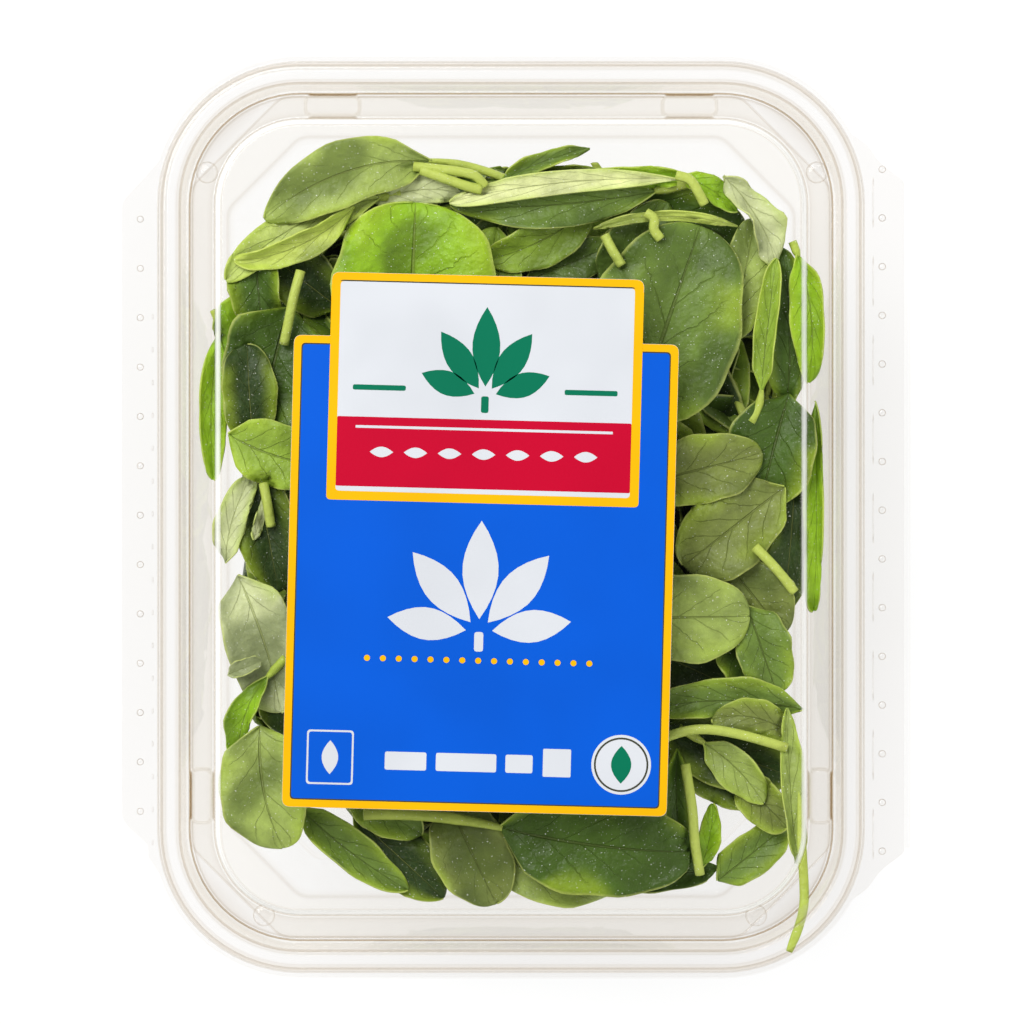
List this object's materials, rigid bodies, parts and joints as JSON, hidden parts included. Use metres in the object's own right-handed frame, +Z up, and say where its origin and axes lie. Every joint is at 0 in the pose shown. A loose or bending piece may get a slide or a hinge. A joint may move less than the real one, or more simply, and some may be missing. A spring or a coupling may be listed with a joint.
{
  "type": "clamshell of baby spinach",
  "caption": "Clear rectangular clamshell with a raised rim, cut-off corners and a hinged lid that presses shut, a blue label on the lid and a heap of baby spinach leaves inside.",
  "frame": {"origin": "under the middle of the whole pack, on the plane that the tray's foot rests on", "axes": "+Z up out of the shut lid, +Y along the pack's length towards the label's crest, +X towards the hinged edge"},
  "size_m": [0.2092, 0.2446, 0.0756],
  "materials": {
    "tub_plastic": "clear glossy thermoformed sheet",
    "fold_plastic": "clear glossy folded sheet",
    "spinach_leaf": "fresh satin leaf, mid green with paler veins and stems",
    "lid_plastic": "clear glossy thermoformed sheet",
    "label_paper": "smooth coated label stock, blue with an amber border"
  },
  "bodies": {
    "tub": {"tub": "tub_plastic", "hinge_fold": "fold_plastic", "spinach": "spinach_leaf"},
    "lid": {"lid": "lid_plastic", "label": "label_paper"}
  },
  "joints": [
    {"name": "lid_hinge", "type": "hinge", "parent": "tub", "child": "lid", "pos_m": [0.104, 0, 0.06815], "axis": [0, 1, 0], "range_deg": [0, 180]}
  ]
}
